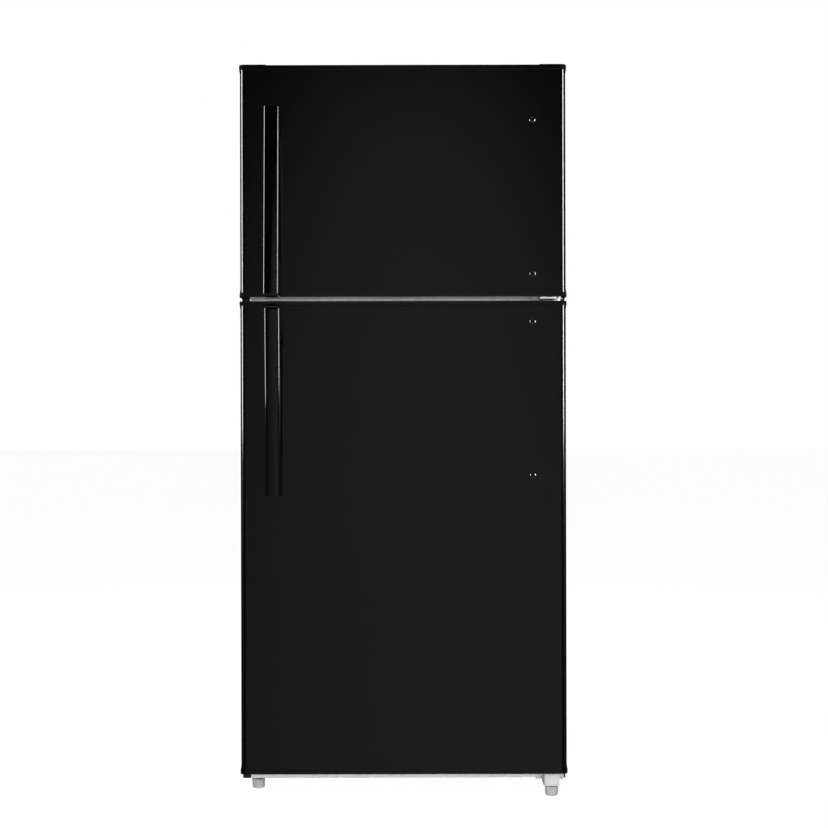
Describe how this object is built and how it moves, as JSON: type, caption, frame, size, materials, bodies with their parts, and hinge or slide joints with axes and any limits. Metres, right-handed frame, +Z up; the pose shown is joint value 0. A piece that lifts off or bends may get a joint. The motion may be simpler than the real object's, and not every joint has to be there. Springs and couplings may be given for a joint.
{
  "type": "top freezer refrigerator",
  "caption": "Free-standing top freezer refrigerator with two right-hung doors, bow handles, shelves, door bins, vegetable drawers, levelling feet and rear rollers.",
  "frame": {"origin": "on the floor under the centre of the whole outline, handles and rear cover included", "axes": "+Z up; the doors face -Y; +X is to the right when facing the doors, on the hinge side"},
  "size_m": [0.749, 0.785, 1.685],
  "materials": {
    "black_steel": "semi-matt black enamel with a very fine grain",
    "compressor_paint": "satin black enamel",
    "galvanised_steel": "dull galvanised sheet",
    "zinc_plate": "bright zinc plate",
    "foam": "rigid foam, hidden",
    "white_liner": "satin white sheet plastic",
    "white_trim": "glossy white moulding",
    "lamp_lens": "ribbed milky lens",
    "black_trim": "fine-textured black moulding",
    "rear_cover": "matt dark grey paint",
    "aluminium": "bare fins and tube",
    "motor": "dark moulding",
    "fan_plastic": "natural nylon",
    "white_wire": "white dipped coating",
    "shelf_glass": "clear float glass with a green edge",
    "clear_plastic": "clear moulding with a faint blue tint",
    "seal_rubber": "matt black vinyl",
    "gloss_black": "glossy black moulding",
    "foot_plastic": "natural grey nylon",
    "roller_plastic": "black nylon",
    "knob_plastic": "light grey moulding"
  },
  "bodies": {
    "cabinet": {"cabinet_shell": "black_steel", "back_panel": "galvanised_steel", "bottom_panel": "galvanised_steel", "compressor_base": "galvanised_steel", "insulation": "foam", "freezer_liner": "white_liner", "fridge_liner": "white_liner", "divider_rail": "galvanised_steel", "bottom_rail": "galvanised_steel", "top_hinge": "black_steel", "top_hinge_cover": "black_trim", "middle_hinge": "zinc_plate", "bottom_hinge": "zinc_plate", "hinge_screws": "zinc_plate", "hinge_hole_plugs": "black_trim", "evaporator_cover": "white_liner", "evaporator": "aluminium", "fan_motor": "motor", "freezer_shelf": "white_wire", "control_housing": "white_trim", "lamp_lens": "lamp_lens", "air_duct": "white_liner", "upper_shelf_glass": "shelf_glass", "middle_shelf_glass": "shelf_glass", "crisper_cover_glass": "shelf_glass", "shelf_trims": "white_trim", "compressor": "compressor_paint", "drip_tray": "black_trim", "machine_cover": "rear_cover", "cord_gland": "black_trim", "roller_brackets": "galvanised_steel"},
    "freezer_door": {"freezer_door_skin": "black_steel", "freezer_door_top_cap": "black_trim", "freezer_door_bottom_cap": "black_trim", "freezer_door_foam": "foam", "freezer_door_liner": "white_liner", "freezer_door_seal": "seal_rubber", "freezer_handle": "gloss_black", "freezer_door_plugs": "gloss_black", "freezer_upper_bin": "clear_plastic", "freezer_lower_bin": "clear_plastic"},
    "fridge_door": {"fridge_door_skin": "black_steel", "fridge_door_top_cap": "black_trim", "fridge_door_bottom_cap": "black_trim", "fridge_door_foam": "foam", "fridge_door_liner": "white_liner", "fridge_door_seal": "seal_rubber", "fridge_handle": "gloss_black", "fridge_door_plugs": "gloss_black", "fridge_upper_bin": "clear_plastic", "fridge_middle_bin": "clear_plastic", "fridge_lower_bin": "clear_plastic"},
    "left_drawer": {"left_crisper": "clear_plastic"},
    "right_drawer": {"right_crisper": "clear_plastic"},
    "left_leveller": {"left_foot": "foot_plastic"},
    "right_leveller": {"right_foot": "foot_plastic"},
    "left_wheel": {"left_roller": "roller_plastic"},
    "right_wheel": {"right_roller": "roller_plastic"},
    "fan": {"fan_blade": "fan_plastic"},
    "thermostat_knob": {"temperature_knob": "knob_plastic"}
  },
  "joints": [
    {"name": "freezer_door_swing", "type": "hinge", "parent": "cabinet", "child": "freezer_door", "pos_m": [0.354, -0.3035, 1.4], "axis": [0, 0, 1], "range_deg": [0, 130]},
    {"name": "fridge_door_swing", "type": "hinge", "parent": "cabinet", "child": "fridge_door", "pos_m": [0.354, -0.3035, 0.6], "axis": [0, 0, 1], "range_deg": [0, 130]},
    {"name": "left_drawer_slide", "type": "slide", "parent": "cabinet", "child": "left_drawer", "axis": [0, -1, 0], "range_m": [0, 0.04]},
    {"name": "right_drawer_slide", "type": "slide", "parent": "cabinet", "child": "right_drawer", "axis": [0, -1, 0], "range_m": [0, 0.04]},
    {"name": "left_foot_levelling", "type": "slide", "parent": "cabinet", "child": "left_leveller", "axis": [0, 0, -1], "range_m": [0, 0.012]},
    {"name": "right_foot_levelling", "type": "slide", "parent": "cabinet", "child": "right_leveller", "axis": [0, 0, -1], "range_m": [0, 0.012]},
    {"name": "left_wheel_roll", "type": "hinge", "parent": "cabinet", "child": "left_wheel", "pos_m": [-0.33, 0.3385, 0.014], "axis": [1, 0, 0], "continuous": true},
    {"name": "right_wheel_roll", "type": "hinge", "parent": "cabinet", "child": "right_wheel", "pos_m": [0.33, 0.3385, 0.014], "axis": [1, 0, 0], "continuous": true},
    {"name": "fan_spin", "type": "hinge", "parent": "cabinet", "child": "fan", "pos_m": [0, 0.2585, 1.5], "axis": [0, 1, 0], "continuous": true},
    {"name": "thermostat_turn", "type": "hinge", "parent": "cabinet", "child": "thermostat_knob", "pos_m": [0.09, -0.14, 1.076], "axis": [0, -1, 0], "range_deg": [-135, 135]}
  ]
}
